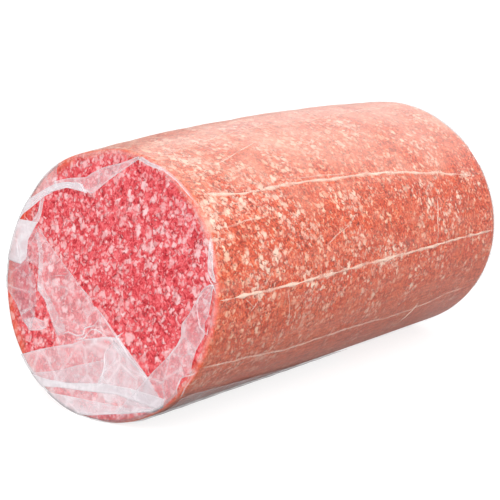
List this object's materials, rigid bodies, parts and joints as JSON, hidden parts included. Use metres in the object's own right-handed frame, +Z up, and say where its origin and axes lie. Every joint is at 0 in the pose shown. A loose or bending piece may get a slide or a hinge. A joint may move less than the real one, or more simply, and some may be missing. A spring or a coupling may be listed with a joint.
{
  "type": "cured sausage",
  "caption": "Cut half log of fine-grained cured sausage lying on its side, wrapped in clear film folded over the cut face.",
  "frame": {"origin": "under the middle of the object's box, on the surface that it rests on", "axes": "+X along the log from the cut face to the far end, +Z up, +Y completes the right hand"},
  "size_m": [0.205, 0.1186, 0.1075],
  "materials": {
    "cured_meat": "moist, fine marbling of fat",
    "clear_film": "clear cling film, wrinkled"
  },
  "bodies": {
    "root": {"sausage": "cured_meat", "film_wrap": "clear_film"}
  },
  "joints": []
}
